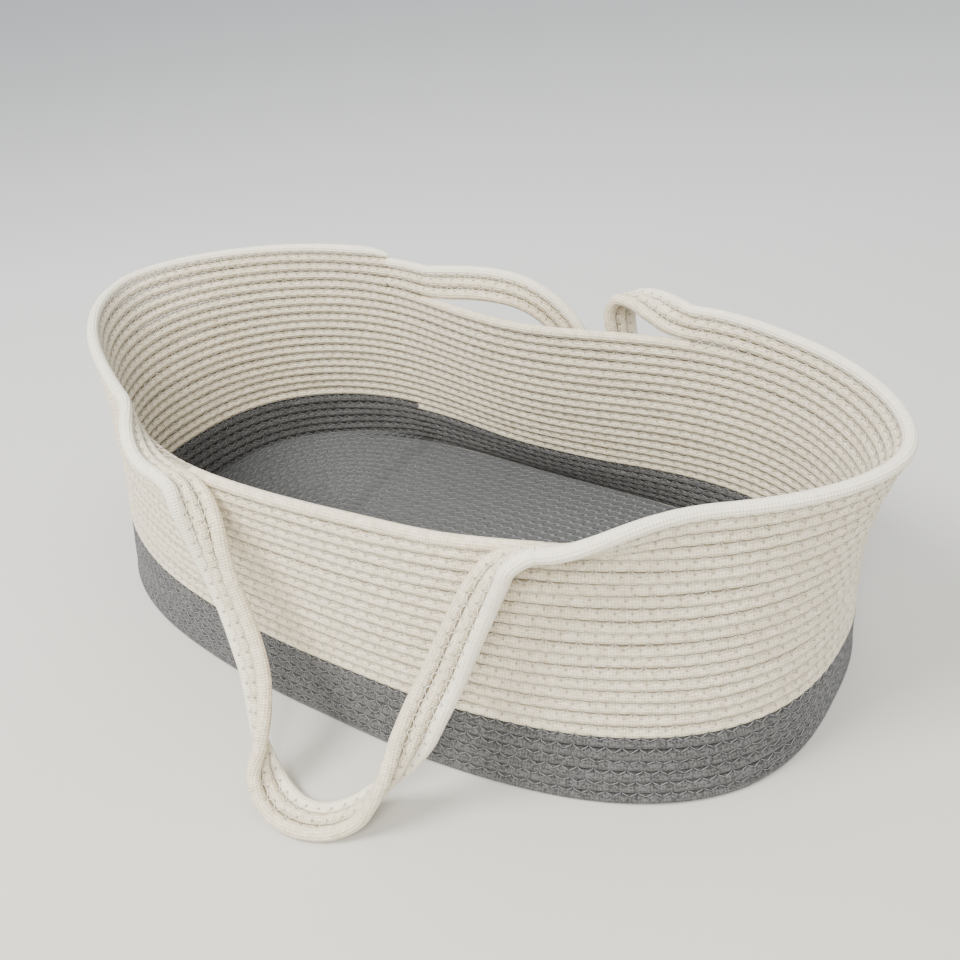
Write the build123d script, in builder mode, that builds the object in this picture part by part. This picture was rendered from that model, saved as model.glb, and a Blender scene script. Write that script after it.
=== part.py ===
from build123d import *

import math
import os

# A coiled rope basket for carrying a baby: an oval floor coil, a coiled wall in two colours,
# and two carrying handles that are the wall's top three courses lifted off it.
# Units are millimetres, +Z is up, +X is along the basket's length and -Y is its front.
# The origin is on the ground under the middle of the floor coil.

# --- driving dimensions ------------------------------------------------------------------

ROPE_RADIUS = 4.75          # braided cotton rope, a little under half the pitch
COURSE_RISE = 9.7           # height of one course of the wall
COURSES = 25                # courses in the wall at its ends
GREY_COURSES = 6            # courses of grey rope at the foot of the wall
HANDLE_COURSES = 3          # top courses that leave the wall and become the handles
FLAT_DEPTH = 0.35           # how far the rope is pressed flat where it stands on the ground

FLOOR_GAP = 0.4             # between the floor coil and the wall's first course

HALF_LENGTH = 350.0         # wall centre line at the ground, end walls
END_FLARE = 32.0            # how far the end walls flare out at the rim
HALF_WIDTH = 204.0          # wall centre line at the ground and at the rim, side walls
WAIST = 7.0                 # how far the side walls draw in at mid height
FOOT_SQUARENESS = 2.69      # superellipse exponent of the plan at the ground
RIM_SQUARENESS = 1.78       # and at the rim
BACK_PINCH = 0.43           # how far the back wall sags inwards at the rim, of its half width
BACK_PINCH_WIDTH = 180.0
FRONT_BULGE = 0.07          # how far the front wall bulges at the rim, of its half width
FRONT_BULGE_X = -110.0
FRONT_BULGE_WIDTH = 100.0
OUTLINE_POINTS = 24         # corners of a course's outline before they are rounded
END_POINTS = 12             # corners of a top course, which runs around one end only
LEAN_POINTS = 6             # and its corners over the stretch that leans out at the front root

FRONT_ROOTS_X = (-80.0, 204.0)   # where the front handle leaves the wall
BACK_ROOTS_X = (-118.0, 165.0)   # where the back handle leaves the wall
FRONT_LEAN = 60.0           # degrees that the wall's top courses lean out at the front roots
BACK_LEAN = 12.0            # and at the back roots
LEAN_REACH = 105.0          # length of wall beside a root over which they lean
ROOT_SPREAD = 2.0           # extra space between the strap and the course below it at a root
ROOT_RUN = 6.0              # straight stretch on each side of a root, along the hinge line
ROOT_GAP = 0.5              # gap between a wall course and the handle rope that continues it

STRAP_PITCH = 10.8          # from one rope of a handle to the next

STRAP_ROPES = ("inner", "middle", "rim")   # the ropes of a handle, from the lowest course up

# --- handle routes at rest ---------------------------------------------------------------
# Each station is a point of the strap's middle rope and the direction from the inner rope
# to the rim rope there. The front handle lies over the rim with its loop on the ground, and
# the back handle arches over the rim and hangs behind the wall.

FRONT_ROUTE = [
    ((-65, -227, 215), (-0.30, -0.82, 0.46)),
    ((-54, -230, 204), (-0.58, -0.74, 0.30)),
    ((-46, -233, 190), (-0.82, -0.52, 0.12)),
    ((-40, -236, 172), (-0.95, -0.28, -0.06)),
    ((-32, -239, 150), (-0.98, -0.05, -0.15)),
    ((-21, -243, 127), (-0.99, 0.00, -0.15)),
    ((-8, -250, 105), (-0.99, 0.02, -0.12)),
    ((3, -258, 84), (-0.98, 0.15, -0.10)),
    ((10, -268, 63), (-0.90, 0.40, 0.00)),
    ((16, -279, 41), (-0.70, 0.70, 0.10)),
    ((25, -289, 22), (-0.35, 0.92, 0.15)),
    ((43, -296, 9), (0.05, 0.98, 0.10)),
    ((64, -297, 6), (0.00, 1.00, 0.00)),
    ((85, -289, 6), (-0.40, 0.90, 0.00)),
    ((101, -276, 12), (-0.45, 0.88, 0.00)),
    ((115, -265, 29), (-0.20, 0.97, -0.10)),
    ((128, -255, 50), (0.25, 0.95, -0.15)),
    ((137, -244, 73), (0.70, 0.68, -0.10)),
    ((145, -232, 98), (0.93, 0.35, -0.10)),
    ((153, -219, 122), (0.98, 0.20, -0.10)),
    ((161, -211, 146), (0.98, 0.02, -0.10)),
    ((169, -204, 168), (0.97, -0.12, -0.05)),
    ((177, -199, 187), (0.95, -0.22, 0.05)),
    ((186, -194, 203), (0.88, -0.38, 0.22)),
    ((197, -189, 214), (0.65, -0.60, 0.40)),
]
BACK_ROUTE = [
    ((-96, 144, 227), (0.00, 0.25, 0.97)),
    ((-68, 149, 227), (0.03, 0.28, 0.96)),
    ((-42, 153, 226), (0.15, 0.28, 0.95)),
    ((-18, 159, 221), (0.42, 0.27, 0.87)),
    ((1, 165, 211), (0.66, 0.24, 0.70)),
    ((15, 171, 197), (0.74, 0.20, 0.62)),
    ((26, 176, 181), (0.85, 0.15, 0.46)),
    ((32, 181, 161), (0.97, 0.10, 0.20)),
    ((34, 185, 138), (0.97, 0.20, 0.10)),
    ((37, 188, 116), (0.85, 0.48, 0.18)),
    ((45, 190, 97), (0.50, 0.80, 0.30)),
    ((62, 190, 87), (0.05, 0.92, 0.38)),
    ((79, 188, 97), (0.12, 0.95, 0.22)),
    ((87, 185, 120), (0.28, 0.95, 0.08)),
    ((88, 181, 145), (0.35, 0.94, 0.02)),
    ((86, 177, 171), (0.40, 0.92, 0.00)),
    ((84, 173, 196), (0.42, 0.90, -0.05)),
    ((85, 170, 216), (0.47, 0.86, -0.15)),
    ((93, 167, 229), (0.38, 0.90, -0.12)),
    ((108, 163, 233), (0.22, 0.95, 0.05)),
    ((126, 158, 232), (0.14, 0.82, 0.45)),
    ((146, 152, 229), (0.10, 0.50, 0.82)),
]

# --- the wall's shape ----------------------------------------------------------------------


def course_height(course):
    """Height of a course's centre line above the ground."""
    return ROPE_RADIUS - FLAT_DEPTH + (course - 1) * COURSE_RISE


def outline_point(course, turn):
    """Point of a course's centre line, turn going from 0 to 1 around the basket."""
    up = (course - 0.5) / COURSES
    half_length = HALF_LENGTH + END_FLARE * up**4
    half_width = HALF_WIDTH - WAIST * 4 * up * (1 - up)
    squareness = FOOT_SQUARENESS + (RIM_SQUARENESS - FOOT_SQUARENESS) * up
    c = math.cos(2 * math.pi * turn)
    s = math.sin(2 * math.pi * turn)
    x = half_length * math.copysign(abs(c) ** (2 / squareness), c)
    y = half_width * math.copysign(abs(s) ** (2 / squareness), s)
    if y > 0:
        y *= 1 - BACK_PINCH * math.sqrt(up) * math.exp(-((x / BACK_PINCH_WIDTH) ** 2))
    else:
        from_bulge = (x - FRONT_BULGE_X) / FRONT_BULGE_WIDTH
        y *= 1 + FRONT_BULGE * up**2 * math.exp(-(from_bulge**2))
    return Vector(x, y, course_height(course))


def turn_at(course, x, front):
    """The turn value at which a course's front or back stretch passes x."""
    low, high = (0.5, 1.0) if front else (0.5, 0.0)
    for _ in range(40):
        middle = (low + high) / 2
        if outline_point(course, middle).X < x:
            low = middle
        else:
            high = middle
    return (low + high) / 2


def outward(course, turn):
    """Horizontal unit vector that points out of the wall."""
    step = 0.002
    along = outline_point(course, turn + step) - outline_point(course, turn - step)
    return Vector(along.Y, -along.X, 0).normalized()


def leaned_point(step, turn, lean, fade):
    """Point of the step-th course above the open rim. At a root, where fade is 1, it leans out
    by an angle in degrees."""
    base_course = COURSES - HANDLE_COURSES
    base = outline_point(base_course, turn)
    out = outward(base_course, turn)
    along = Vector(0, 0, 1).cross(out)
    upright = outline_point(base_course + step, turn) - base
    upright_out = upright.dot(out)
    share = lean / FRONT_LEAN
    root_reach = step * COURSE_RISE * fade
    root_reach += (step * (STRAP_PITCH - COURSE_RISE) + ROOT_SPREAD) * share
    reach = math.hypot(upright_out, upright.Z) * (1 - fade) + root_reach
    angle = math.atan2(upright_out, upright.Z) * (1 - fade) + math.radians(lean)
    tipped = out * (reach * math.sin(angle)) + Vector(0, 0, reach * math.cos(angle))
    return base + tipped + along * (upright.dot(along) * (1 - fade))


# --- paths and sweeps ------------------------------------------------------------------------


def root_turn(front, left):
    """The turn value of a handle root."""
    roots_x = FRONT_ROOTS_X if front else BACK_ROOTS_X
    return turn_at(COURSES - HANDLE_COURSES, roots_x[0 if left else 1], front)


def strap_root(front, left, step):
    """Where one of a handle's ropes leaves the wall, and the hinge line's direction into it."""
    lean = FRONT_LEAN if front else BACK_LEAN
    middles = [leaned_point(2, root_turn(front, side), lean, 1) for side in (True, False)]
    hinge = (middles[1] - middles[0]).normalized()
    here = leaned_point(step, root_turn(front, left), lean, 1)
    middle = middles[0 if left else 1]
    here -= hinge * (here - middle).dot(hinge)
    return here, hinge if left else -hinge


def corner_radii(points, closed):
    """Radius of each corner's arc: as large as its two runs allow."""
    count = len(points)
    corners = range(count) if closed else range(1, count - 1)
    radii = []
    for i in corners:
        before = points[i] - points[i - 1]
        after = points[(i + 1) % count] - points[i]
        half_turn = math.radians(before.get_angle(after)) / 2
        radii.append(0.45 * min(before.length, after.length) / math.tan(half_turn))
    return radii


def across(route):
    """Plane across a route's start, its Y axis pointing up."""
    along = route.line % 0
    return Plane(origin=route.line @ 0, x_dir=Vector(0, 0, 1).cross(along), z_dir=along)


def rope_section(flat):
    """Round section, pressed flat underneath where the rope stands on the ground."""
    Circle(ROPE_RADIUS)
    if flat:
        with Locations((0, FLAT_DEPTH - 2 * ROPE_RADIUS)):
            Rectangle(4 * ROPE_RADIUS, 2 * ROPE_RADIUS, mode=Mode.SUBTRACT)


def rope(points, closed=False, flat=False):
    """A rope along straight runs joined by tangent arcs."""
    with BuildPart() as swept:
        with BuildLine() as route:
            FilletPolyline(*points, radius=corner_radii(points, closed), close=closed)
        with BuildSketch(across(route)):
            rope_section(flat)
        sweep()
    return swept.part


def save(part, name):
    part.label = name
    export_step(part, f"parts/{name}.step")


# --- sub-parts -------------------------------------------------------------------------------


def floor_coil():
    """The floor: a flat oval coil of rope that fills the wall's first course."""
    inset = 2 * ROPE_RADIUS + FLOOR_GAP
    points = []
    for i in range(OUTLINE_POINTS):
        turn = (i + 0.5) / OUTLINE_POINTS
        edge = outline_point(1, turn) - outward(1, turn) * inset
        points.append(Vector(edge.X, edge.Y, 0))
    with BuildPart() as coil:
        with BuildSketch():
            with BuildLine():
                FilletPolyline(*points, radius=corner_radii(points, closed=True), close=True)
            make_face()
        extrude(amount=2 * ROPE_RADIUS - FLAT_DEPTH)
        fillet(coil.edges().group_by(Axis.Z)[-1], radius=ROPE_RADIUS / 2)
    return coil.part


def wall_course(course):
    """A course that runs all the way around."""
    points = [outline_point(course, (i + 0.5) / OUTLINE_POINTS) for i in range(OUTLINE_POINTS)]
    return rope(points, closed=True, flat=course == 1)


def end_course(step, left):
    """One of the top courses, around one end of the basket from root to root."""
    side = 0 if left else 1
    roots = [(BACK_ROOTS_X[side], False, BACK_LEAN), (FRONT_ROOTS_X[side], True, FRONT_LEAN)]
    base_course = COURSES - HANDLE_COURSES
    turns = [turn_at(base_course, x, front) for x, front, lean in roots]
    lean_start = turn_at(base_course, roots[1][0] - (LEAN_REACH if left else -LEAN_REACH), True)
    if not left:
        turns[1] -= 1
        lean_start -= 1
    plain_step = (lean_start - turns[0]) / END_POINTS
    lean_step = (turns[1] - lean_start) / LEAN_POINTS
    plain_turns = [turns[0] + plain_step * i for i in range(1, END_POINTS + 1)]
    lean_turns = [lean_start + lean_step * i for i in range(1, LEAN_POINTS)]
    points = []
    for turn in plain_turns + lean_turns:
        here = outline_point(base_course, turn)
        lean = 0
        fade = 0
        for (x, front, root_lean), end_turn in zip(roots, turns):
            gone = min(1, (here - outline_point(base_course, end_turn)).length / LEAN_REACH)
            near = (1 - gone) ** 2 * (1 + 2 * gone)
            lean += near * root_lean
            fade += near
        points.append(leaned_point(step, turn, lean, fade))
    back_root, back_along = strap_root(False, left, step)
    front_root, front_along = strap_root(True, left, step)
    points.insert(0, back_root - back_along * ROOT_RUN)
    points.insert(0, back_root - back_along * (ROOT_GAP / 2))
    points.append(front_root - front_along * ROOT_RUN)
    points.append(front_root - front_along * (ROOT_GAP / 2))
    return rope(points)


def handle_rope(front, step):
    """One of a handle's three ropes, from its left root to its right root."""
    stations = FRONT_ROUTE if front else BACK_ROUTE
    left_root, left_along = strap_root(front, True, step)
    right_root, right_along = strap_root(front, False, step)
    left_middle = strap_root(front, True, 2)[0] + left_along * ROOT_RUN
    right_middle = strap_root(front, False, 2)[0] + right_along * ROOT_RUN
    middles = [left_middle] + [Vector(*point) for point, across_strap in stations] + [right_middle]
    points = [left_root + left_along * (ROOT_GAP / 2), left_root + left_along * ROOT_RUN]
    for i in range(1, len(middles) - 1):
        before = (middles[i] - middles[i - 1]).normalized()
        after = (middles[i + 1] - middles[i]).normalized()
        along = (before + after).normalized()
        side = Vector(*stations[i - 1][1])
        side = (side - along * side.dot(along)).normalized()
        bend = (after - before).normalized()
        mitre = 1 / along.dot(after) - 1
        side += bend * (side.dot(bend) * mitre)
        points.append(middles[i] + side * (STRAP_PITCH * (step - 2)))
    points += [right_root + right_along * ROOT_RUN, right_root + right_along * (ROOT_GAP / 2)]
    return rope(points)


def main():
    os.makedirs("parts", exist_ok=True)
    save(floor_coil(), "floor_coil")
    for course in range(1, COURSES - HANDLE_COURSES + 1):
        colour = "grey" if course <= GREY_COURSES else "cream"
        save(wall_course(course), f"wall_course_{course:02d}_{colour}")
    for step, rope_name in enumerate(STRAP_ROPES, start=1):
        course = COURSES - HANDLE_COURSES + step
        save(end_course(step, left=True), f"wall_course_{course:02d}_left_end")
        save(end_course(step, left=False), f"wall_course_{course:02d}_right_end")
        save(handle_rope(True, step), f"front_handle_{rope_name}_rope")
        save(handle_rope(False, step), f"back_handle_{rope_name}_rope")


main()
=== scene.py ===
import math

import bpy
import numpy as np
from mathutils import Matrix, Vector


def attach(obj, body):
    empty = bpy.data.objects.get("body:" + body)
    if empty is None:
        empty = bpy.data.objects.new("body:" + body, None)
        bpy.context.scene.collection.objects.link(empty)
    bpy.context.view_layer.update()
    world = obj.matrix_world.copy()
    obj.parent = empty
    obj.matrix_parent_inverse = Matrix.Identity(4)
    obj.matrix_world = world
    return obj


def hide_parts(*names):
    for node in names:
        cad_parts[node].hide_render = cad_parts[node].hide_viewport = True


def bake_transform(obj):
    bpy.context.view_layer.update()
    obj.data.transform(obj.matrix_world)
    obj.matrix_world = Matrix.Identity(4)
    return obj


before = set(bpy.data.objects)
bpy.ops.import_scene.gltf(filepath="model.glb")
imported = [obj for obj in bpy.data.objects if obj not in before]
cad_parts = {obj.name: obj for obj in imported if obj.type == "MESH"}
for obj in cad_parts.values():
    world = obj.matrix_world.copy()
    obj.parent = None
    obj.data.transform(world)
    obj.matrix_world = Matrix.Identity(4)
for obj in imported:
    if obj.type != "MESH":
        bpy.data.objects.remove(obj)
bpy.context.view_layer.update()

# The looks of a coiled rope basket for carrying a baby. Every rope of the CAD part is replaced by
# the same rope in finer detail: one spiral instead of level rings, with the needle holes and the
# zigzag thread that hold its turns together. Metres, in the part's own frame.

# --- the basket's shape, as in the part ----------------------------------------------------------

COURSE_RISE = 0.0097
COURSES = 25
GREY_COURSES = 6
HANDLE_COURSES = 3
OPEN_COURSE = COURSES - HANDLE_COURSES     # the last course that runs all the way around
GROUND_HEIGHT = 0.0044                     # centre line of the rope that stands on the ground

HALF_LENGTH = 0.350
END_FLARE = 0.032
HALF_WIDTH = 0.204
WAIST = 0.007
FOOT_SQUARENESS = 2.69
RIM_SQUARENESS = 1.78
BACK_PINCH = 0.43
BACK_PINCH_WIDTH = 0.180
FRONT_BULGE = 0.07
FRONT_BULGE_X = -0.110
FRONT_BULGE_WIDTH = 0.100

FRONT_ROOTS_X = (-0.080, 0.204)
BACK_ROOTS_X = (-0.118, 0.165)
FRONT_LEAN = 60.0
BACK_LEAN = 12.0
LEAN_REACH = 0.105
ROOT_SPREAD = 0.002
STRAP_PITCH = 0.0108
STRAP_ROPES = ("inner", "middle", "rim")
MIDDLE_STEP = 2                            # courses from the last closed one to a strap's middle rope

# Stations of the straps' middle ropes in millimetres, and the directions across the straps there,
# from the inner rope to the rim rope.
FRONT_ROUTE = [
    ((-65, -227, 215), (-0.30, -0.82, 0.46)),
    ((-54, -230, 204), (-0.58, -0.74, 0.30)),
    ((-46, -233, 190), (-0.82, -0.52, 0.12)),
    ((-40, -236, 172), (-0.95, -0.28, -0.06)),
    ((-32, -239, 150), (-0.98, -0.05, -0.15)),
    ((-21, -243, 127), (-0.99, 0.00, -0.15)),
    ((-8, -250, 105), (-0.99, 0.02, -0.12)),
    ((3, -258, 84), (-0.98, 0.15, -0.10)),
    ((10, -268, 63), (-0.90, 0.40, 0.00)),
    ((16, -279, 41), (-0.70, 0.70, 0.10)),
    ((25, -289, 22), (-0.35, 0.92, 0.15)),
    ((43, -296, 9), (0.05, 0.98, 0.10)),
    ((64, -297, 6), (0.00, 1.00, 0.00)),
    ((85, -289, 6), (-0.40, 0.90, 0.00)),
    ((101, -276, 12), (-0.45, 0.88, 0.00)),
    ((115, -265, 29), (-0.20, 0.97, -0.10)),
    ((128, -255, 50), (0.25, 0.95, -0.15)),
    ((137, -244, 73), (0.70, 0.68, -0.10)),
    ((145, -232, 98), (0.93, 0.35, -0.10)),
    ((153, -219, 122), (0.98, 0.20, -0.10)),
    ((161, -211, 146), (0.98, 0.02, -0.10)),
    ((169, -204, 168), (0.97, -0.12, -0.05)),
    ((177, -199, 187), (0.95, -0.22, 0.05)),
    ((186, -194, 203), (0.88, -0.38, 0.22)),
    ((197, -189, 214), (0.65, -0.60, 0.40)),
]
BACK_ROUTE = [
    ((-96, 144, 227), (0.00, 0.25, 0.97)),
    ((-68, 149, 227), (0.03, 0.28, 0.96)),
    ((-42, 153, 226), (0.15, 0.28, 0.95)),
    ((-18, 159, 221), (0.42, 0.27, 0.87)),
    ((1, 165, 211), (0.66, 0.24, 0.70)),
    ((15, 171, 197), (0.74, 0.20, 0.62)),
    ((26, 176, 181), (0.85, 0.15, 0.46)),
    ((32, 181, 161), (0.97, 0.10, 0.20)),
    ((34, 185, 138), (0.97, 0.20, 0.10)),
    ((37, 188, 116), (0.85, 0.48, 0.18)),
    ((45, 190, 97), (0.50, 0.80, 0.30)),
    ((62, 190, 87), (0.05, 0.92, 0.38)),
    ((79, 188, 97), (0.12, 0.95, 0.22)),
    ((87, 185, 120), (0.28, 0.95, 0.08)),
    ((88, 181, 145), (0.35, 0.94, 0.02)),
    ((86, 177, 171), (0.40, 0.92, 0.00)),
    ((84, 173, 196), (0.42, 0.90, -0.05)),
    ((85, 170, 216), (0.47, 0.86, -0.15)),
    ((93, 167, 229), (0.38, 0.90, -0.12)),
    ((108, 163, 233), (0.22, 0.95, 0.05)),
    ((126, 158, 232), (0.14, 0.82, 0.45)),
    ((146, 152, 229), (0.10, 0.50, 0.82)),
]

# --- what only the looks have --------------------------------------------------------------------

ROPE_RADIUS = 0.00492       # plump enough that neighbouring turns press against each other
RIM_RADIUS = 0.00515        # the free top rope isn't squeezed by stitches above it
STRAP_RADIUS = 0.0055       # nor are the straps' ropes, which nothing stretches
SEAM_X = -0.166             # on the back wall, where one turn of the spiral becomes the next
JOG = 0.07                  # share of a turn over which the lowest courses climb one rise
CORE_HALF = 0.155           # half the straight run that the floor coil starts with
FLOOR_TURNS = 20.5
FLOOR_DEPTH = 0.9999        # how close the floor coil comes to its core line, as a share of the way in
FINE_POINTS = 3001          # points that measure a course before it is cut into rings
HALVINGS = 40               # enough to find a turn exactly

STITCH = 0.0115             # length of one zig and zag
RINGS_PER_STITCH = 8
AROUND = 16                 # corners of the rope's section
HOLE_ANGLE = math.radians(38)   # needle holes, above and below the rope's widest line
HOLE_DEPTH = 0.0009
HOLE_WIDTH = 0.0013         # of the dent, along the rope
HOLE_SPREAD = 0.35          # and around it, in radians
HOLE_RADIUS = 0.0011        # of the dark spot of painted shade, where it starts to fade
HOLE_EDGE = 1.4             # and its edge, in those radii
FREE_COUNT = 0.5            # count of stitches given to a rope's free side, halfway between holes
THREAD_RADIUS = 0.00028
THREAD_SIDES = 4
THREAD_SINK = 1.6 * HOLE_DEPTH  # how far the thread dives into a hole
THREAD_BEND = 0.14          # share of a zig or zag after which the thread has left the hole
THREAD_HEIGHT = 0.0001      # least height of a thread above the ground
WANDER = 0.00035            # how far a rope strays from its line
WANDER_WAVE = 0.06          # length over which it does so
CALM_END = 0.05             # length of rope that stays on its line at the seam

ROOT_LEAD = 0.012           # wall before a root that sets the direction in which the strap leaves
ROOT_OVERLAP = 0.001        # how far a rope reaches into the one that it continues
ROOT_SWELL = 0.024          # length of strap beside a root over which it swells to its own radius
TAIL = 0.030                # length over which the cream rope's end tapers on the rim
TAIL_TIP = 0.35             # share of its radius that is left at the tip
TAIL_SINK = 0.6             # how far the tip sinks, in rope radii
Z_AXIS = np.array([0.0, 0.0, 1.0])

BRAID_LENGTH = 0.0044       # of rope, from one crossing of the strands to the next but one
BRAID_STRANDS = 6           # running each way around the rope
FIBRE_SCALE = 900           # waves in a metre of fine fibres
TWIST_SCALE = 700           # of the thread's strands
FLECK_SCALE = 550           # of darker and lighter flecks
PATCH_SCALE = 190           # and of soft patches
BRAID_SHADE = 0.55
FIBRE_SHADE = 0.55
PATCH_SHADE = 1.1
CREAM_FLECKS = 0.8
GREY_FLECKS = 3.2
# Painted shade: how far the needle holes are darkened towards a rope's hole colour.
PAINTED_HOLE_SHADE = 0.7
# Painted shade: how far the grooves between stitched ropes are darkened towards the hole colour.
PAINTED_GROOVE_SHADE = 0.7
GROOVE_POWER = 6.0          # higher is narrower
HOLE_HEIGHT = 1.2           # of the bumps: how deep a hole is, against a strand's height of 1
FIBRE_HEIGHT = 0.5
BUMP_HEIGHT = 0.0008

CAMERA_PLACE = (0.4904, -0.60025, 0.6022)
CAMERA_YAW = math.radians(37.25)
CAMERA_PITCH = math.radians(-32.86)
CAMERA_ROLL = math.radians(-6.07)
CAMERA_LENS = 38.34
CAMERA_SENSOR = 36.0

rng = np.random.default_rng(12)


# --- lines of the coil ---------------------------------------------------------------------------


def unit(vectors):
    """The same directions with a length of 1."""
    return vectors / np.linalg.norm(vectors, axis=-1, keepdims=True)


def smooth(share):
    """Goes from 0 to 1 with level ends."""
    return share * share * (3 - 2 * share)


def lengths_along(points):
    """Length from the first point to each point."""
    steps = np.linalg.norm(np.diff(points, axis=0), axis=1)
    return np.concatenate([[0.0], np.cumsum(steps)])


def outline(course, turn):
    """Points of a course's centre line, for turns from 0 to 1 around the basket.

    The spiral passes through fractions of courses, so a course doesn't have to be a whole number.
    """
    up = (course - 0.5) / COURSES
    half_length = HALF_LENGTH + END_FLARE * up**4
    half_width = HALF_WIDTH - WAIST * 4 * up * (1 - up)
    power = 2 / (FOOT_SQUARENESS + (RIM_SQUARENESS - FOOT_SQUARENESS) * up)
    c = np.cos(2 * math.pi * turn)
    s = np.sin(2 * math.pi * turn)
    x = half_length * np.sign(c) * np.abs(c) ** power
    y = half_width * np.sign(s) * np.abs(s) ** power
    pinch = BACK_PINCH * np.sqrt(np.maximum(up, 0)) * np.exp(-((x / BACK_PINCH_WIDTH) ** 2))
    bulge = FRONT_BULGE * up**2 * np.exp(-(((x - FRONT_BULGE_X) / FRONT_BULGE_WIDTH) ** 2))
    y = np.where(y > 0, y * (1 - pinch), y * (1 + bulge))
    z = np.zeros_like(x) + GROUND_HEIGHT + (course - 1) * COURSE_RISE
    return np.stack([x, y, z], axis=-1)


def outward(course, turn):
    """Horizontal directions out of the wall."""
    step = 0.002
    along = outline(course, turn + step) - outline(course, turn - step)
    return unit(np.stack([along[..., 1], -along[..., 0], np.zeros_like(turn)], axis=-1))


def turn_at(course, x, front):
    """The turn at which a course's front or back stretch passes x, found by halving."""
    low, high = (0.5, 1.0) if front else (0.5, 0.0)
    for _ in range(HALVINGS):
        middle = (low + high) / 2
        if outline(course, np.array([middle]))[0, 0] < x:
            low = middle
        else:
            high = middle
    return (low + high) / 2


def leaned(step, turn, lean, fade):
    """Points of the step-th course above the open rim.

    Away from the roots (fade 0) it follows the wall's outline. At a root (fade 1) it leans out of
    the wall by an angle in degrees.
    """
    base = outline(OPEN_COURSE, turn)
    out = outward(OPEN_COURSE, turn)
    along = np.cross(Z_AXIS, out)
    upright = outline(OPEN_COURSE + step, turn) - base
    upright_out = np.sum(upright * out, axis=-1)
    upright_along = np.sum(upright * along, axis=-1)
    share = lean / FRONT_LEAN
    spread = step * (STRAP_PITCH - COURSE_RISE) + ROOT_SPREAD
    root_reach = step * COURSE_RISE * fade + spread * share
    reach = np.hypot(upright_out, upright[..., 2]) * (1 - fade) + root_reach
    angle = np.arctan2(upright_out, upright[..., 2]) * (1 - fade) + np.radians(lean)
    tipped = out * (reach * np.sin(angle))[..., None] + Z_AXIS * (reach * np.cos(angle))[..., None]
    return base + tipped + along * (upright_along * (1 - fade))[..., None]


def clockwise(course):
    """A course as the rope runs, from the seam round to the seam: turns, shares of its length, length."""
    turn = turn_at(course, SEAM_X, front=False) - np.linspace(0, 1, FINE_POINTS)
    length = lengths_along(outline(course, turn))
    return turn, length / length[-1], length[-1]


OPEN_TURNS, OPEN_SHARES, OPEN_LENGTH = clockwise(OPEN_COURSE)


def root_share(front, left):
    """Share of the open course's length at which a strap's root lies, running from the seam."""
    x = (FRONT_ROOTS_X if front else BACK_ROOTS_X)[0 if left else 1]
    turn = turn_at(OPEN_COURSE, x, front)
    if turn > OPEN_TURNS[0]:
        turn -= 1
    return float(np.interp(-turn, -OPEN_TURNS, OPEN_SHARES))


BACK_LEFT, BACK_RIGHT = root_share(False, True), root_share(False, False)
FRONT_RIGHT, FRONT_LEFT = root_share(True, False), root_share(True, True)
ROOTS = (
    (BACK_LEFT, BACK_LEAN),
    (BACK_RIGHT, BACK_LEAN),
    (FRONT_RIGHT, FRONT_LEAN),
    (FRONT_LEFT, FRONT_LEAN),
    (1 + BACK_LEFT, BACK_LEAN),
)


def lean_at(share):
    """How far the top courses lean out, in degrees, and how near a root they are, from 0 to 1."""
    lean, fade = np.zeros_like(share), np.zeros_like(share)
    for root, root_lean in ROOTS:
        gone = np.minimum(np.abs(share - root) * OPEN_LENGTH / LEAN_REACH, 1)
        near = smooth(1 - gone)
        fade += near
        lean += near * root_lean
    return lean, fade


def climb(course, share):
    """Height of the spiral above the level course, in courses.

    The foot is nearly level and jogs up at the seam. Above the grey courses the climb is even.
    """
    def evenness(number):
        return min(1.0, (number - 1) / GREY_COURSES)

    start, end = -0.5 * evenness(course), 1 - 0.5 * evenness(course + 1)
    jog = smooth(np.clip((share - 1 + JOG) / JOG, 0, 1))
    risen = share * evenness(course) + jog * (1 - evenness(course))
    return start + (end - start) * risen


def wander(count, length):
    """A slow random wander along a rope, one value per ring."""
    waves = max(4, int(length / WANDER_WAVE))
    knots = rng.normal(0, WANDER, waves + 3)
    return np.interp(np.linspace(0, waves, count), np.arange(waves + 3), knots)


def rope_line(points, stack, share, radius, length):
    """A rope's rings, with their directions to the next rope (stack) and out of the fabric (face).

    Each ring also has its share of the rope's length and its radius.
    """
    tangent = unit(np.gradient(points, axis=0))
    stack = unit(stack - tangent * np.sum(stack * tangent, axis=1, keepdims=True))
    return {
        "points": points,
        "stack": stack,
        "face": np.cross(stack, tangent),
        "share": share,
        "radius": radius,
        "length": length,
    }


def between(share, shares, vectors):
    """Vectors read off between those that are known, at shares of a length."""
    return np.stack([np.interp(share, shares, vectors[:, i]) for i in range(3)], axis=-1)


def ring_shares(first, last, length):
    """Shares of a rope's length at which its rings stand."""
    count = max(8, int(round((last - first) * length / STITCH * RINGS_PER_STITCH)))
    return np.linspace(first, last, count + 1)


def end_points(step, share):
    """Points of a top course, directions to the next one and lean, at shares of the way around."""
    turn = np.interp(share, OPEN_SHARES, OPEN_TURNS)
    lean, fade = lean_at(share)
    level = step + climb(OPEN_COURSE + step, share)
    stack = leaned(level + 0.5, turn, lean, fade) - leaned(level - 0.5, turn, lean, fade)
    return leaned(level, turn, lean, fade), stack, lean


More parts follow.
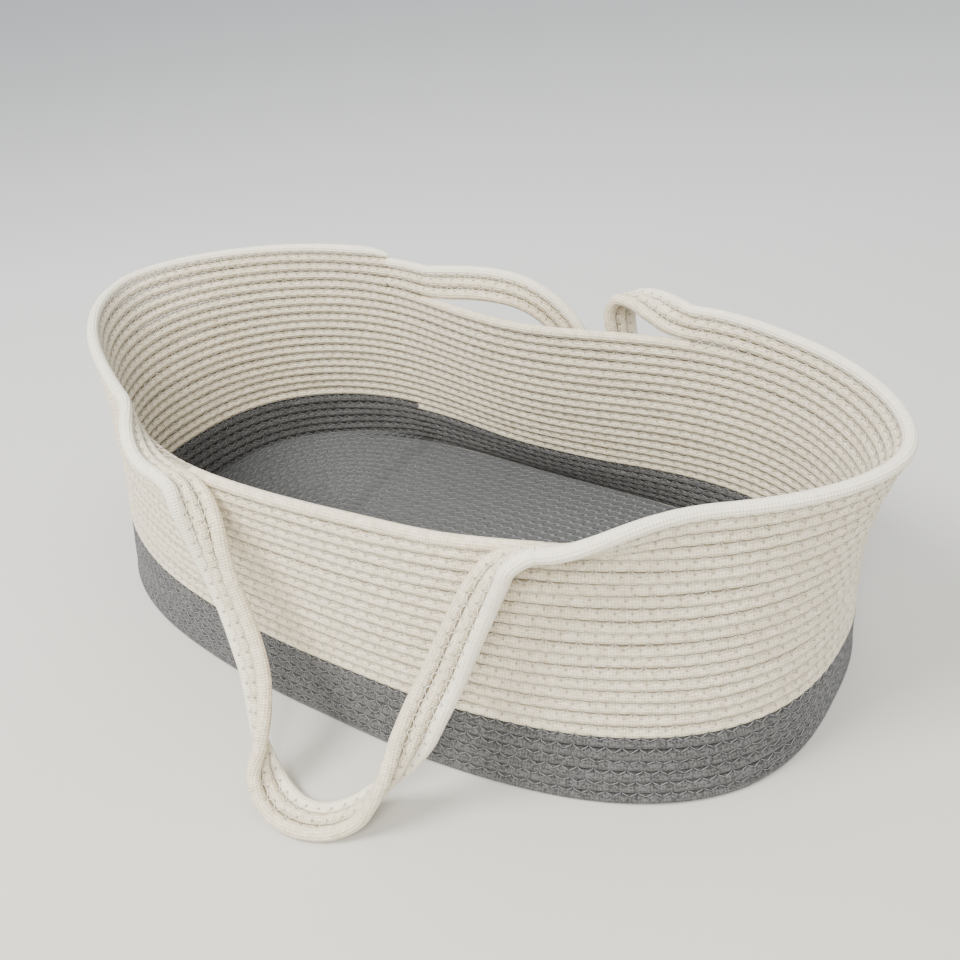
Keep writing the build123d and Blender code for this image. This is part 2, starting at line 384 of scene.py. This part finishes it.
def wall_line(course, first=0.0, last=1.0):
    """The line of a wall course between two shares of its way around."""
    if course <= OPEN_COURSE:
        turns, shares, length = clockwise(course)
    else:
        turns, shares, length = OPEN_TURNS, OPEN_SHARES, OPEN_LENGTH
    share = ring_shares(first, last, length)
    turn = np.interp(share, shares, turns)
    if course <= OPEN_COURSE:
        level = course + climb(course, share)
        points = outline(level, turn)
        stack = outline(level + 0.5, turn) - outline(level - 0.5, turn)
        radius = np.full(len(share), ROPE_RADIUS)
    else:
        points, stack, lean = end_points(course - OPEN_COURSE, share)
        upright_radius = RIM_RADIUS if course == COURSES else ROPE_RADIUS
        radius = upright_radius + (STRAP_RADIUS - upright_radius) * lean / FRONT_LEAN
    points[0] -= unit(points[1] - points[0]) * ROOT_OVERLAP
    return rope_line(points, stack, share, radius, length)


def floor_line(number):
    """One turn of the floor coil, counted from the outside, in the direction the rope runs."""
    last = min(number + 1, FLOOR_TURNS)
    turns_in = np.linspace(last, number, FINE_POINTS)
    edge = outline(1, turn_at(1, SEAM_X, front=False) + turns_in)
    core = np.stack([np.clip(edge[:, 0], -CORE_HALF, CORE_HALF), np.zeros(FINE_POINTS), edge[:, 2]], axis=-1)
    step_in = smooth(np.clip(turns_in / JOG, 0, 1))
    depth = np.minimum((turns_in + step_in) / (FLOOR_TURNS + 1), FLOOR_DEPTH)
    fine = edge + (core - edge) * depth[:, None]
    length = lengths_along(fine)
    share = ring_shares(0, 1, length[-1])
    points = between(share, length / length[-1], fine)
    away = unit(between(share, length / length[-1], edge - core))
    return rope_line(points, away, share, np.full(len(share), ROPE_RADIUS), length[-1])


# --- lines of the straps -------------------------------------------------------------------------


def through(knots, chord, distance):
    """A smooth curve through knots that stand at distances along a chord line."""
    slope = np.gradient(knots, chord, axis=0)
    i = np.clip(np.searchsorted(chord, distance, side="right") - 1, 0, len(knots) - 2)
    width = (chord[i + 1] - chord[i])[:, None]
    t = (distance - chord[i])[:, None] / width
    near = (1 + 2 * t) * (1 - t) ** 2 * knots[i] + t * (1 - t) ** 2 * width * slope[i]
    far = t**2 * (3 - 2 * t) * knots[i + 1] + t**2 * (t - 1) * width * slope[i + 1]
    return near + far


def strap_line(front, step):
    """The line of one of a strap's ropes. It starts and ends inside the wall, a little before its roots."""
    route = FRONT_ROUTE if front else BACK_ROUTE
    left, right = (FRONT_LEFT, FRONT_RIGHT) if front else (BACK_LEFT, BACK_RIGHT)
    into_wall = ROOT_LEAD / OPEN_LENGTH * (1 if front else -1)
    wall_shares = np.array([left + into_wall, left, right, right - into_wall])
    wall_points = end_points(step, wall_shares)[0]
    middles, sides = end_points(MIDDLE_STEP, wall_shares)[:2]
    route_points = np.array([point for point, side in route]) / 1000
    middles = np.concatenate([middles[:2], route_points, middles[2:]])
    chord = lengths_along(middles)
    for share, gone in ((left, chord - chord[1]), (right, chord[-2] - chord)):
        near = np.clip(1 - gone[2:-2] / LEAN_REACH, 0, 1) ** 2
        middles[2:-2, 2] += COURSE_RISE * (share - 0.5) * near
    route_sides = unit(np.array([side for point, side in route]))
    sides = unit(np.concatenate([sides[:2], route_sides, sides[2:]]))
    tangent = unit(np.gradient(middles, chord, axis=0))
    sides = unit(sides - tangent * np.sum(sides * tangent, axis=1, keepdims=True))
    knots = middles + sides * (STRAP_PITCH * (step - MIDDLE_STEP))
    knots[:2], knots[-2:] = wall_points[:2], wall_points[2:]
    first, last = chord[1] - ROOT_OVERLAP, chord[-2] + ROOT_OVERLAP
    distance = first + ring_shares(0, 1, last - first) * (last - first)
    points, stack = through(knots, chord, distance), through(sides, chord, distance)
    share = (distance - first) / (last - first)
    wall_radius = RIM_RADIUS if step == len(STRAP_ROPES) else ROPE_RADIUS
    lean = FRONT_LEAN if front else BACK_LEAN
    root_radius = wall_radius + (STRAP_RADIUS - wall_radius) * lean / FRONT_LEAN
    from_root = np.minimum(distance - first, last - distance)
    near = np.clip(1 - from_root / ROOT_SWELL, 0, 1) ** 2
    radius = STRAP_RADIUS + (root_radius - STRAP_RADIUS) * near
    return rope_line(points, stack, share, radius, last - first)


# --- meshes --------------------------------------------------------------------------------------


def stitch_count(line, seam):
    """A rope's running count of stitches in a seam: its needle holes are at the whole numbers."""
    if seam is None:
        return np.full(len(line["share"]), FREE_COUNT)
    count = line["share"] * seam["stitches"] + seam["phase"] + (0.5 if seam["lower"] else 0)
    for first, last in seam["open"]:
        count = np.where((line["share"] > first) & (line["share"] < last), FREE_COUNT, count)
    return count


def new_seam(length, open_shares=()):
    """The stitches between a rope and the next one out or up. Nothing is stitched in its open shares."""
    return {
        "stitches": round(length / STITCH),
        "phase": rng.uniform(),
        "open": open_shares,
        "lower": False,
    }


def from_below(seam):
    """The same seam as the rope above it sees it: its holes are half a stitch on."""
    return None if seam is None else {**seam, "lower": True}


def hole_dents(count):
    """How deep each ring is pulled in by the nearest needle hole."""
    away = np.abs((count + 0.5) % 1 - 0.5) * STITCH
    return HOLE_DEPTH * np.exp(-((away / HOLE_WIDTH) ** 2))


def fill_mesh(name, vertices, quads, caps):
    """A mesh object made of quads and end caps, shaded smooth."""
    mesh = bpy.data.meshes.new(name)
    mesh.vertices.add(len(vertices))
    mesh.vertices.foreach_set("co", vertices.astype(np.float32).ravel())
    corners = np.concatenate([quads.ravel()] + [cap.ravel() for cap in caps]).astype(np.int32)
    sizes = np.concatenate([np.full(len(quads), 4), [len(cap) for cap in caps]]).astype(np.int32)
    mesh.loops.add(len(corners))
    mesh.loops.foreach_set("vertex_index", corners)
    mesh.polygons.add(len(sizes))
    mesh.polygons.foreach_set("loop_start", np.concatenate([[0], np.cumsum(sizes)[:-1]]).astype(np.int32))
    mesh.polygons.foreach_set("use_smooth", np.ones(len(sizes), bool))
    mesh.update(calc_edges=True)
    piece = bpy.data.objects.new(name, mesh)
    bpy.context.collection.objects.link(piece)
    return piece


def ring_directions(angle, first, second):
    """Directions to a tube's corners, turning from its rings' first directions to their second ones."""
    cosine, sine = np.cos(angle)[None, :, None], np.sin(angle)[None, :, None]
    return cosine * first[:, None, :] + sine * second[:, None, :]


def tube_quads(rings, around):
    """Corner numbers of a tube's quads."""
    ring = np.arange(rings - 1)[:, None] * around
    j = np.arange(around)[None, :]
    after = (j + 1) % around
    quads = np.stack([ring + j, ring + after, ring + around + after, ring + around + j], axis=-1)
    return quads.reshape(-1, 4)


def rope_piece(name, line, material, above=None, below=None, first=0, last=None, closed_end=False):
    """A rope's mesh, dented at its needle holes, between two of its rings."""
    count_above, count_below = stitch_count(line, above), stitch_count(line, from_below(below))
    rings = slice(first, None if last is None else last + 1)
    points, stack, face = (line[key][rings] for key in ("points", "stack", "face"))
    up, down = count_above[rings], count_below[rings]
    distance = lengths_along(line["points"])[rings]
    angle = np.arange(AROUND) * 2 * math.pi / AROUND
    reach = np.repeat(line["radius"][rings][:, None], AROUND, axis=1)
    for count, sign in ((up, 1), (down, -1)):
        for row in (sign * HOLE_ANGLE, sign * (math.pi - HOLE_ANGLE)):
            away = (angle - row + math.pi) % (2 * math.pi) - math.pi
            reach -= hole_dents(count)[:, None] * np.exp(-((away / HOLE_SPREAD) ** 2))
    out = ring_directions(angle, face, stack)
    vertices = (points[:, None, :] + out * reach[:, :, None]).reshape(-1, 3)
    vertices[:, 2] = np.maximum(vertices[:, 2], 0)
    quads = tube_quads(len(points), AROUND)
    last_ring = (len(points) - 1) * AROUND
    caps = [np.arange(last_ring, last_ring + AROUND)] if closed_end else []
    piece = fill_mesh(name, vertices, quads, caps)
    for key, values in (("stitch_above", up), ("stitch_below", down)):
        layer = piece.data.attributes.new(key, "FLOAT", "POINT")
        layer.data.foreach_set("value", np.repeat(values, AROUND).astype(np.float32))
    lay_rope_uv(piece.data, quads, distance)
    piece.data.materials.append(material)
    return piece


def lay_rope_uv(mesh, quads, distance):
    """UVs: metres along the rope, and share of the way around it."""
    uv = np.zeros((len(mesh.loops), 2), np.float32)
    corner = quads.ravel()
    uv[: len(corner), 0] = distance[corner // AROUND]
    around = (corner % AROUND).reshape(-1, 4) / AROUND
    around[:, 1] = around[:, 0] + 1 / AROUND
    around[:, 2] = around[:, 1]
    uv[: len(corner), 1] = around.ravel()
    mesh.uv_layers.new(name="rope").data.foreach_set("uv", uv.ravel())


def hole_ends(line, share, side, tilt):
    """Needle holes at shares of a rope: how deep the thread goes, the rope's surface, and outwards."""
    out = between(share, line["share"], line["face"]) * (side * math.cos(HOLE_ANGLE))
    out = unit(out + between(share, line["share"], line["stack"]) * (tilt * math.sin(HOLE_ANGLE)))
    centre = between(share, line["share"], line["points"])
    radius = np.interp(share, line["share"], line["radius"])[:, None]
    return centre + out * (radius - THREAD_SINK), centre + out * radius, out


def seam_threads(name, lower, upper, seam, material, shares=(0.0, 1.0)):
    """The zigzag thread that holds two neighbouring ropes together, on both faces of the fabric."""
    stitches, phase = seam["stitches"], seam["phase"]
    first = math.ceil(shares[0] * stitches + phase)
    last = math.floor(shares[1] * stitches + phase)
    numbers = np.arange(first, last)
    low_share, high_share = (numbers - phase) / stitches, (numbers + 0.5 - phase) / stitches
    angle = (np.arange(THREAD_SIDES) + 0.5) * 2 * math.pi / THREAD_SIDES
    vertices, quads = [], []
    for side in (1, -1):
        low_hole, low, low_out = hole_ends(lower, low_share, side, 1)
        high_hole, high = hole_ends(upper, high_share, side, -1)[:2]
        next_low = np.concatenate([low[1:], low[-1:]])
        path = np.stack([
            low_hole,
            low + (high - low) * THREAD_BEND,
            high + (low - high) * THREAD_BEND,
            high_hole,
            high + (next_low - high) * THREAD_BEND,
            next_low + (high - next_low) * THREAD_BEND,
        ], axis=1).reshape(-1, 3)[:-2]
        outs = np.repeat(low_out, 6, axis=0)[:-2]
        tangent = unit(np.gradient(path, axis=0))
        across = unit(np.cross(tangent, outs))
        ring = ring_directions(angle, across, np.cross(across, tangent))
        quads.append(tube_quads(len(path), THREAD_SIDES) + sum(len(part) for part in vertices))
        vertices.append((path[:, None, :] + ring * THREAD_RADIUS).reshape(-1, 3))
    vertices = np.concatenate(vertices)
    vertices[:, 2] = np.maximum(vertices[:, 2], THREAD_HEIGHT)
    piece = fill_mesh(name, vertices, np.concatenate(quads), [])
    piece.data.materials.append(material)
    return piece


# --- materials -----------------------------------------------------------------------------------


class Nodes:
    """Short names for building a material's nodes."""

    def __init__(self, name):
        self.material = bpy.data.materials.new(name)
        self.material.use_nodes = True
        self.tree = self.material.node_tree
        self.shader = self.tree.nodes["Principled BSDF"]

    def add(self, kind, **settings):
        """A new node with the given settings."""
        node = self.tree.nodes.new(kind)
        for key, value in settings.items():
            setattr(node, key, value)
        return node

    def join(self, source, target):
        """Links an output to an input."""
        self.tree.links.new(source, target)

    def math(self, operation, a, b=None, c=None, clamp=False):
        """The output of a calculation with numbers or outputs."""
        node = self.add("ShaderNodeMath", operation=operation, use_clamp=clamp)
        for socket, value in zip(node.inputs, (a, b, c)):
            if value is None:
                continue
            if isinstance(value, (int, float)):
                socket.default_value = value
            else:
                self.join(value, socket)
        return node.outputs[0]

    def mix(self, share, a, b):
        """A colour between a (share 0) and b (share 1)."""
        node = self.add("ShaderNodeMix", data_type="RGBA")
        for socket, value in zip((node.inputs[0], node.inputs[6], node.inputs[7]), (share, a, b)):
            if isinstance(value, (int, float, tuple)):
                socket.default_value = value
            else:
                self.join(value, socket)
        return node.outputs[2]

    def noise(self, vector, scale, detail=2.0):
        """Noise from 0 to 1."""
        node = self.add("ShaderNodeTexNoise")
        node.inputs["Scale"].default_value = scale
        node.inputs["Detail"].default_value = detail
        self.join(vector, node.inputs["Vector"])
        return node.outputs["Fac"]


def hole_mask(n, attribute, around, middle):
    """1 in a row of needle holes, 0 away from them. It paints shade into the holes and dents them in the
    bump. The rows lie on both faces of the rope.
    """
    count = n.add("ShaderNodeAttribute", attribute_name=attribute).outputs["Fac"]
    nearest = n.math("SUBTRACT", n.math("FRACT", n.math("ADD", count, 0.5)), 0.5)
    along = n.math("MULTIPLY", nearest, STITCH)
    from_middle = n.math("ABSOLUTE", n.math("SUBTRACT", around, middle))
    sideways = n.math("SUBTRACT", from_middle, 0.25 - HOLE_ANGLE / (2 * math.pi))
    sideways = n.math("MULTIPLY", sideways, 2 * math.pi * ROPE_RADIUS)
    squared = n.math("ADD", n.math("MULTIPLY", along, along), n.math("MULTIPLY", sideways, sideways))
    away = n.math("SQRT", squared)
    return n.math("SUBTRACT", HOLE_EDGE, n.math("DIVIDE", away, HOLE_RADIUS), clamp=True)


def painted_groove_mask(n, attribute, toward):
    """Painted shade in the grooves: 1 where a rope lies against a neighbour that it is stitched to, 0 on its
    free sides.
    """
    count = n.add("ShaderNodeAttribute", attribute_name=attribute).outputs["Fac"]
    stitched = n.math("GREATER_THAN", count, FREE_COUNT + 0.25)
    return n.math("MULTIPLY", stitched, n.math("POWER", n.math("MAXIMUM", toward, 0.0), GROOVE_POWER))


def rope_material(name, light, dark, hole, fleck_shade, painted_groove_shade=PAINTED_GROOVE_SHADE):
    """Matt braided cotton: crossing strands, mottling, and painted shade in needle holes and grooves."""
    n = Nodes(name)
    place = n.add("ShaderNodeTexCoord").outputs["Object"]
    parts = n.add("ShaderNodeSeparateXYZ")
    n.join(n.add("ShaderNodeUVMap", uv_map="rope").outputs["UV"], parts.inputs[0])
    length, share_around = parts.outputs["X"], parts.outputs["Y"]
    along = n.math("MULTIPLY", length, 2 * math.pi / BRAID_LENGTH)
    around = n.math("MULTIPLY", share_around, 2 * math.pi * BRAID_STRANDS)
    right = n.math("SINE", n.math("ADD", along, around))
    left = n.math("SINE", n.math("SUBTRACT", along, around))
    braid = n.math("MULTIPLY_ADD", n.math("MULTIPLY", right, left), 0.5, 0.5)
    fibres = n.noise(place, FIBRE_SCALE, 3)
    patches = n.noise(place, PATCH_SCALE)
    flecks = n.noise(place, FLECK_SCALE)
    shade = n.math("MULTIPLY_ADD", braid, BRAID_SHADE, n.math("MULTIPLY", fibres, FIBRE_SHADE))
    shade = n.math("MULTIPLY_ADD", n.math("SUBTRACT", patches, 0.5), PATCH_SHADE, shade)
    flecks = n.math("MULTIPLY", n.math("SUBTRACT", flecks, 0.5), fleck_shade)
    shade = n.math("ADD", shade, flecks, clamp=True)
    holes = n.math(
        "MAXIMUM",
        hole_mask(n, "stitch_above", share_around, 0.25),
        hole_mask(n, "stitch_below", share_around, 0.75),
    )
    # Painted shade in the grooves, on the sides where a rope is stitched to its neighbour.
    upwards = n.math("SINE", n.math("MULTIPLY", share_around, 2 * math.pi))
    grooves = n.math(
        "MAXIMUM",
        painted_groove_mask(n, "stitch_above", upwards),
        painted_groove_mask(n, "stitch_below", n.math("MULTIPLY", upwards, -1.0)),
    )
    grooves = n.math("MULTIPLY", grooves, painted_groove_shade)
    # Darkens the colour towards the hole colour: painted shade in the holes and grooves.
    painted_hole_and_groove_shade = n.math("MAXIMUM", n.math("MULTIPLY", holes, PAINTED_HOLE_SHADE), grooves)
    n.join(n.mix(painted_hole_and_groove_shade, n.mix(shade, dark, light), hole), n.shader.inputs["Base Color"])
    height = n.math("ADD", braid, n.math("MULTIPLY", fibres, FIBRE_HEIGHT))
    height = n.math("SUBTRACT", height, n.math("MULTIPLY", holes, HOLE_HEIGHT))
    bump = n.add("ShaderNodeBump")
    bump.inputs["Strength"].default_value = 0.8
    bump.inputs["Distance"].default_value = BUMP_HEIGHT
    n.join(height, bump.inputs["Height"])
    n.join(bump.outputs["Normal"], n.shader.inputs["Normal"])
    n.shader.inputs["Roughness"].default_value = 0.92
    n.shader.inputs["Specular IOR Level"].default_value = 0.25
    n.shader.inputs["Sheen Weight"].default_value = 0.15
    return n.material


def thread_material(name, light, dark):
    """Twisted sewing thread."""
    n = Nodes(name)
    place = n.add("ShaderNodeTexCoord").outputs["Object"]
    n.join(n.mix(n.noise(place, TWIST_SCALE), dark, light), n.shader.inputs["Base Color"])
    n.shader.inputs["Roughness"].default_value = 0.7
    return n.material


# Each rope's hole colour is painted shade, for its needle holes and the grooves between stitched ropes.
cream = rope_material(
    "cream_cotton",
    light=(0.96, 0.87, 0.68, 1),
    dark=(0.52, 0.43, 0.28, 1),
    hole=(0.13, 0.10, 0.06, 1),
    fleck_shade=CREAM_FLECKS,
)
# A paler copy of the cream for the rim ropes, whose free sides show no stitch marks: the paler tone is
# painted light, as on the rim's lit top.
rim_cream = rope_material(
    "rim_cotton",
    light=(0.97, 0.91, 0.75, 1),
    dark=(0.80, 0.73, 0.58, 1),
    hole=(0.22, 0.18, 0.12, 1),
    fleck_shade=CREAM_FLECKS,
    painted_groove_shade=0.0,
)
grey = rope_material(
    "grey_cotton",
    light=(0.13, 0.129, 0.127, 1),
    dark=(0.042, 0.041, 0.04, 1),
    hole=(0.035, 0.034, 0.032, 1),
    fleck_shade=GREY_FLECKS,
)
# A darker copy of the grey rope for the floor coil: the darkening is painted shade on the floor inside the
# basket.
shaded_floor_grey = rope_material(
    "floor_cotton",
    light=(0.095, 0.10, 0.10, 1),
    dark=(0.05, 0.052, 0.052, 1),
    hole=(0.04, 0.04, 0.04, 1),
    fleck_shade=GREY_FLECKS,
)
cream_thread = thread_material("cream_thread", light=(0.90, 0.87, 0.79, 1), dark=(0.74, 0.71, 0.62, 1))
grey_thread = thread_material("grey_thread", light=(0.34, 0.35, 0.37, 1), dark=(0.20, 0.205, 0.215, 1))


# --- the wall and the floor ----------------------------------------------------------------------


def stray(line):
    """Lets a rope wander a little, as hand-fed rope does."""
    count, length = len(line["points"]), line["length"]
    calm = np.clip(np.minimum(line["share"], 1 - line["share"]) * length / CALM_END, 0, 1)
    for key in ("stack", "face"):
        line["points"] = line["points"] + line[key] * (wander(count, length) * calm)[:, None]
    return line


def build_wall():
    """The courses that run all the way around. Gives back the last one, with the seam above it."""
    lines = {course: stray(wall_line(course)) for course in range(1, OPEN_COURSE + 1)}
    gaps = ((BACK_LEFT, BACK_RIGHT), (FRONT_RIGHT, FRONT_LEFT))
    seams = {}
    for course in range(1, OPEN_COURSE):
        seams[course] = new_seam(lines[course]["length"])
    seams[OPEN_COURSE] = new_seam(OPEN_LENGTH, gaps)
    for course, line in lines.items():
        is_grey = course <= GREY_COURSES
        node = f"wall_course_{course:02d}_{'grey' if is_grey else 'cream'}"
        material = grey if is_grey else cream
        piece = rope_piece(f"rope_{node}", line, material, seams[course], seams.get(course - 1))
        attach(piece, "basket")
        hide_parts(node)
        if course < OPEN_COURSE:
            thread = grey_thread if is_grey else cream_thread
            threads = seam_threads(f"stitches_{course:02d}", line, lines[course + 1], seams[course], thread)
            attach(threads, "basket")
    return lines[OPEN_COURSE], seams[OPEN_COURSE]


def build_ends(open_line, open_seam):
    """The top courses, around each end of the basket from root to root.

    The seam cuts the left end in two, and the rope ends there in a tapered tail.
    """
    stretches = (
        ("left", "start", 0.0, BACK_LEFT),
        ("right", "middle", BACK_RIGHT, FRONT_RIGHT),
        ("left", "end", FRONT_LEFT, 1.0),
    )
    for end, stretch, first, last in stretches:
        lower, seam = open_line, open_seam
        for course in range(OPEN_COURSE + 1, COURSES + 1):
            line = wall_line(course, first, last)
            top = course == COURSES
            above = None if top else new_seam(OPEN_LENGTH)
            is_tail = top and stretch == "end"
            if is_tail:
                near_end = np.clip((1 - line["share"]) * OPEN_LENGTH / TAIL, 0, 1)
                line["radius"] = line["radius"] * (TAIL_TIP + (1 - TAIL_TIP) * np.sqrt(near_end))
                sunk = (1 - near_end) ** 2 * ROPE_RADIUS * TAIL_SINK
                line["points"] = line["points"] - line["stack"] * sunk[:, None]
            material = rim_cream if top else cream
            name = f"rope_course_{course}_{stretch}"
            piece = rope_piece(name, line, material, above, seam, closed_end=is_tail)
            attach(piece, "basket")
            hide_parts(f"wall_course_{course}_{end}_end")
            name = f"stitches_{course - 1}_{stretch}"
            threads = seam_threads(name, lower, line, seam, cream_thread, (first, last))
            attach(threads, "basket")
            lower, seam = line, above


def build_floor():
    """The floor coil, from its outermost turn inwards."""
    outer_seam, outer_line = None, None
    for number in range(math.ceil(FLOOR_TURNS)):
        line = floor_line(number)
        inner_seam = new_seam(line["length"])
        piece = rope_piece(f"floor_turn_{number + 1:02d}", line, shaded_floor_grey, outer_seam, inner_seam)
        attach(piece, "basket")
        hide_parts("floor_coil")
        if outer_line is not None and number < FLOOR_TURNS - 1:
            name = f"floor_stitches_{number:02d}"
            threads = seam_threads(name, line, outer_line, outer_seam, grey_thread)
            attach(threads, "basket")
        outer_seam, outer_line = inner_seam, line


# --- the straps ----------------------------------------------------------------------------------


def bend_with(piece):
    """Bakes a piece of a strap into the part's frame."""
    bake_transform(piece)


def build_strap(front):
    """A strap of three ropes, each made in two halves."""
    handle = "front_handle" if front else "back_handle"
    lines = [strap_line(front, step) for step in (1, 2, 3)]
    seams = [None, new_seam(lines[0]["length"]), new_seam(lines[0]["length"]), None]
    half = len(lines[0]["points"]) // 2
    for number, (rope_name, line) in enumerate(zip(STRAP_ROPES, lines)):
        material = rim_cream if rope_name == "rim" else cream
        above, below = seams[number + 1], seams[number]
        for side, first, last in (("left", 0, half), ("right", half, len(line["points"]) - 1)):
            name = f"rope_{handle}_{rope_name}_{side}"
            piece = rope_piece(name, line, material, above, below, first, last)
            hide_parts(f"{handle}_{rope_name}_rope")
            bend_with(piece)
    for number in (1, 2):
        inner, outer = lines[number - 1], lines[number]
        for side, shares in (("left", (0.0, 0.5)), ("right", (0.5, 1.0))):
            name = f"stitches_{handle}_{number}_{side}"
            threads = seam_threads(name, inner, outer, seams[number], cream_thread, shares)
            bend_with(threads)


# --- floor, light and camera ---------------------------------------------------------------------


def build_stage():
    """A pale floor, cooler and lighter further from the camera, as painted light."""
    half = 6.0
    corners = [(-half, -half, 0), (half, -half, 0), (half, half, 0), (-half, half, 0)]
    mesh = bpy.data.meshes.new("ground")
    mesh.from_pydata(corners, [], [(0, 1, 2, 3)])
    ground = bpy.data.objects.new("ground", mesh)
    bpy.context.collection.objects.link(ground)
    n = Nodes("pale_floor")
    place = n.add("ShaderNodeSeparateXYZ")
    n.join(n.add("ShaderNodeTexCoord").outputs["Object"], place.inputs[0])
    back = n.math("MULTIPLY", place.outputs["Y"], 0.8)
    right = n.math("MULTIPLY", place.outputs["X"], 0.6)
    far = n.math("MULTIPLY_ADD", n.math("SUBTRACT", back, right), 0.8, 0.3, clamp=True)
    # Painted light: the colour grows cooler and lighter away from the camera, as on a lit backdrop.
    near_colour, far_colour = (0.57, 0.56, 0.51, 1), (0.70, 0.70, 0.695, 1)
    n.join(n.mix(far, near_colour, far_colour), n.shader.inputs["Base Color"])
    n.shader.inputs["Roughness"].default_value = 0.55
    ground.data.materials.append(n.material)


def area_light(name, place, target, size, power, colour):
    """A round lamp that faces a target."""
    data = bpy.data.lights.new(name, "AREA")
    data.shape = "DISK"
    data.size = size
    data.energy = power
    data.color = colour
    lamp = bpy.data.objects.new(name, data)
    lamp.location = place
    lamp.rotation_mode = "QUATERNION"
    lamp.rotation_quaternion = (Vector(target) - Vector(place)).to_track_quat("-Z", "Y")
    bpy.context.collection.objects.link(lamp)


def build_lights():
    """A pale sky, and three soft lamps: two in front, and a wide one above and behind."""
    world = bpy.data.worlds.new("studio")
    world.use_nodes = True
    sky = world.node_tree.nodes["Background"]
    sky.inputs["Color"].default_value = (0.93, 0.96, 1.0, 1)
    sky.inputs["Strength"].default_value = 0.88
    bpy.context.scene.world = world
    area_light("key", (-0.6, -1.2, 2.2), (0, 0, 0.1), 1.0, 84, (1.0, 0.98, 0.94))
    area_light("fill", (1.0, -1.6, 1.9), (0, 0, 0.1), 1.0, 68, (1.0, 0.97, 0.92))
    area_light("top", (0.5, 0.6, 2.6), (0, 0, 0), 2.0, 22, (1.0, 1.0, 1.0))


def build_camera():
    """The photograph's camera, turned by its yaw, pitch and roll."""
    forward = Vector((
        -math.sin(CAMERA_YAW) * math.cos(CAMERA_PITCH),
        math.cos(CAMERA_YAW) * math.cos(CAMERA_PITCH),
        math.sin(CAMERA_PITCH),
    ))
    level = Vector((math.cos(CAMERA_YAW), math.sin(CAMERA_YAW), 0))
    upright = level.cross(forward)
    right = level * math.cos(CAMERA_ROLL) + upright * math.sin(CAMERA_ROLL)
    up = upright * math.cos(CAMERA_ROLL) - level * math.sin(CAMERA_ROLL)
    data = bpy.data.cameras.new("camera")
    data.lens = CAMERA_LENS
    data.sensor_width = CAMERA_SENSOR
    data.clip_start = 0.01
    camera = bpy.data.objects.new("camera", data)
    turn = Matrix((right, up, -forward)).transposed()
    camera.matrix_world = Matrix.Translation(CAMERA_PLACE) @ turn.to_4x4()
    bpy.context.collection.objects.link(camera)
    bpy.context.scene.camera = camera


open_line, open_seam = build_wall()
build_ends(open_line, open_seam)
build_floor()
build_strap(front=True)
build_strap(front=False)
build_stage()
build_lights()
build_camera()
